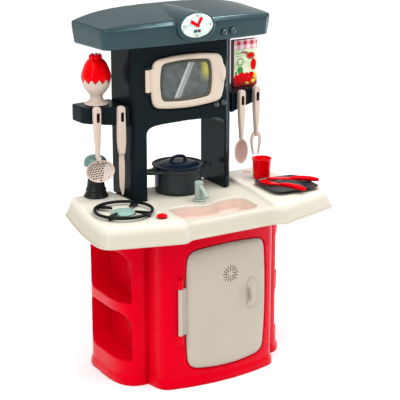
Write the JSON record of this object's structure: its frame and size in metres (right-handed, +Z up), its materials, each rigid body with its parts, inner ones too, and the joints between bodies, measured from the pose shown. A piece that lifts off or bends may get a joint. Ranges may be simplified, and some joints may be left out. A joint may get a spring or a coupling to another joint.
{
  "type": "toy kitchen",
  "caption": "Toy play kitchen: base with door and side shelves, worktop with sink, tap and hob, upper panel with toy microwave, hood with clock, utensils and dishes.",
  "frame": {"origin": "on the floor, at the centre of the bounding box's footprint", "axes": "+Z up, -Y towards the child at the front, +X to the right of someone facing the kitchen's front"},
  "size_m": [0.745, 0.402, 1.0127],
  "materials": {
    "red_plastic": "glossy moulded plastic, warm red",
    "red_trim": "glossy moulded plastic, red",
    "red_cutlery": "glossy moulded plastic, deep red",
    "clock_red": "glossy plastic, red",
    "cream_plastic": "satin moulded plastic, cream",
    "beige_plastic": "satin moulded plastic, warm beige",
    "dark_teal_plastic": "satin moulded plastic, near-black teal",
    "teal_plastic": "satin moulded plastic, grey teal",
    "clock_white": "printed white with pale green mottling",
    "black_plastic": "glossy black plastic",
    "charcoal_plastic": "glossy charcoal plastic",
    "mill_black": "glossy black plastic",
    "grey_green_plastic": "satin moulded plastic, grey green",
    "pink_beige_plastic": "satin moulded plastic, pinkish beige",
    "oven_grey_plastic": "matte dark grey plastic",
    "window_print": "printed grey pane with two pale streaks",
    "printed_card": null,
    "steel_pin": "bright steel"
  },
  "bodies": {
    "kitchen": {"base_front_panel": "red_plastic", "left_shelf_tower": "red_plastic", "right_shelf_tower": "red_plastic", "cupboard_floor": "red_plastic", "rear_brace": "red_plastic", "worktop": "cream_plastic", "upper_panel": "dark_teal_plastic", "left_shelf": "dark_teal_plastic", "right_shelf": "dark_teal_plastic", "hood": "teal_plastic", "clock_face": "clock_white", "hob_grate": "black_plastic", "tap_base": "grey_green_plastic", "burner_cap": "grey_green_plastic", "microwave_box": "oven_grey_plastic", "cupboard_hinge_pin": "steel_pin", "microwave_hinge_pin": "steel_pin", "clock_pin": "steel_pin", "brace_screw_1": "steel_pin", "brace_screw_2": "steel_pin", "brace_screw_3": "steel_pin", "brace_screw_4": "steel_pin", "hood_screw_1": "steel_pin", "hood_screw_2": "steel_pin"},
    "cupboard_door": {"cupboard_door": "beige_plastic", "door_handle": "beige_plastic"},
    "microwave_door": {"microwave_door": "beige_plastic", "microwave_window": "window_print"},
    "hour_hand": {"hour_hand": "clock_red"},
    "minute_hand": {"minute_hand": "clock_red"},
    "hood_knob_left": {"hood_knob_left": "black_plastic"},
    "hood_knob_right": {"hood_knob_right": "black_plastic"},
    "oven_knob_left": {"oven_knob_left": "black_plastic"},
    "oven_knob_right": {"oven_knob_right": "black_plastic"},
    "tap_spout": {"tap_spout": "grey_green_plastic"},
    "hob_button": {"hob_button": "red_trim"},
    "skimmer": {"skimmer": "pink_beige_plastic"},
    "kitchen_knife": {"kitchen_knife": "pink_beige_plastic"},
    "serving_spoon": {"serving_spoon": "pink_beige_plastic"},
    "carving_fork": {"carving_fork": "pink_beige_plastic"},
    "pot": {"pot": "charcoal_plastic"},
    "pot_lid": {"pot_lid": "charcoal_plastic"},
    "mill_body": {"mill_body": "mill_black"},
    "mill_top": {"mill_top": "grey_green_plastic"},
    "egg_cup": {"egg_cup": "pink_beige_plastic"},
    "egg_top": {"egg_top": "red_trim"},
    "food_box": {"food_box": "printed_card"},
    "cup": {"cup": "red_trim"},
    "plate": {"plate": "charcoal_plastic"},
    "table_knife": {"table_knife": "red_cutlery"},
    "table_fork": {"table_fork": "red_cutlery"}
  },
  "joints": [
    {"name": "cupboard_door_hinge", "type": "hinge", "parent": "kitchen", "child": "cupboard_door", "pos_m": [-0.1355, -0.129, 0.225], "axis": [0, 0, -1], "range_deg": [0, 110]},
    {"name": "microwave_door_hinge", "type": "hinge", "parent": "kitchen", "child": "microwave_door", "pos_m": [-0.127, 0.0545, 0.827], "axis": [0, 0, -1], "range_deg": [0, 110]},
    {"name": "hour_hand_turn", "type": "hinge", "parent": "kitchen", "child": "hour_hand", "pos_m": [0, 0.0042, 0.974], "axis": [0, 1, 0], "continuous": true},
    {"name": "minute_hand_turn", "type": "hinge", "parent": "kitchen", "child": "minute_hand", "pos_m": [0, 0.0022, 0.974], "axis": [0, 1, 0], "continuous": true},
    {"name": "hood_knob_left_turn", "type": "hinge", "parent": "kitchen", "child": "hood_knob_left", "pos_m": [0.098, 0.027, 0.944], "axis": [0, -1, 0], "range_deg": [-150, 150]},
    {"name": "hood_knob_right_turn", "type": "hinge", "parent": "kitchen", "child": "hood_knob_right", "pos_m": [0.126, 0.027, 0.946], "axis": [0, -1, 0], "range_deg": [-150, 150]},
    {"name": "oven_knob_left_turn", "type": "hinge", "parent": "kitchen", "child": "oven_knob_left", "pos_m": [0.095, 0.062, 0.737], "axis": [0, -1, 0], "range_deg": [-150, 150]},
    {"name": "oven_knob_right_turn", "type": "hinge", "parent": "kitchen", "child": "oven_knob_right", "pos_m": [0.118, 0.062, 0.74], "axis": [0, -1, 0], "range_deg": [-150, 150]},
    {"name": "tap_swivel", "type": "hinge", "parent": "kitchen", "child": "tap_spout", "pos_m": [0, -0.003, 0.494], "axis": [0, 0, 1], "range_deg": [-90, 90]},
    {"name": "hob_button_press", "type": "slide", "parent": "kitchen", "child": "hob_button", "axis": [0, 0, -1], "range_m": [0, 0.003], "stiffness_N_per_m": 200, "springref_m": -0.002},
    {"name": "skimmer_swing", "type": "hinge", "parent": "kitchen", "child": "skimmer", "pos_m": [-0.254, 0.108, 0.742], "axis": [0, 1, 0], "range_deg": [-1.5, 22]},
    {"name": "kitchen_knife_swing", "type": "hinge", "parent": "kitchen", "child": "kitchen_knife", "pos_m": [-0.193, 0.084, 0.742], "axis": [0, 1, 0], "range_deg": [-5, 1.5]},
    {"name": "serving_spoon_swing", "type": "hinge", "parent": "kitchen", "child": "serving_spoon", "pos_m": [0.195, 0.0845, 0.742], "axis": [0, 1, 0], "range_deg": [-6, 4]},
    {"name": "carving_fork_swing", "type": "hinge", "parent": "kitchen", "child": "carving_fork", "pos_m": [0.263, 0.1105, 0.742], "axis": [0, 1, 0], "range_deg": [-20, 14]},
    {"name": "pot_lift", "type": "slide", "parent": "kitchen", "child": "pot", "axis": [0, 0, 1], "range_m": [0, 0.05]},
    {"name": "pot_lid_lift", "type": "slide", "parent": "pot", "child": "pot_lid", "axis": [0, 0, 1], "range_m": [0, 0.05]},
    {"name": "mill_lift", "type": "slide", "parent": "kitchen", "child": "mill_body", "axis": [0, 0, 1], "range_m": [0, 0.08]},
    {"name": "mill_top_turn", "type": "hinge", "parent": "mill_body", "child": "mill_top", "pos_m": [-0.24, 0.151, 0.5832], "axis": [0, 0, 1], "continuous": true},
    {"name": "egg_cup_lift", "type": "slide", "parent": "kitchen", "child": "egg_cup", "axis": [0, 0, 1], "range_m": [0, 0.02]},
    {"name": "egg_top_lift", "type": "slide", "parent": "egg_cup", "child": "egg_top", "axis": [0, 0, 1], "range_m": [0, 0.03]},
    {"name": "food_box_lift", "type": "slide", "parent": "kitchen", "child": "food_box", "axis": [0, 0, 1], "range_m": [0, 0.025]},
    {"name": "cup_lift", "type": "slide", "parent": "kitchen", "child": "cup", "axis": [0, 0, 1], "range_m": [0, 0.15]},
    {"name": "plate_lift", "type": "slide", "parent": "kitchen", "child": "plate", "axis": [0, 0, 1], "range_m": [0, 0.15]},
    {"name": "table_knife_lift", "type": "slide", "parent": "plate", "child": "table_knife", "axis": [0, 0, 1], "range_m": [0, 0.1]},
    {"name": "table_fork_lift", "type": "slide", "parent": "plate", "child": "table_fork", "axis": [0, 0, 1], "range_m": [0, 0.1]}
  ]
}
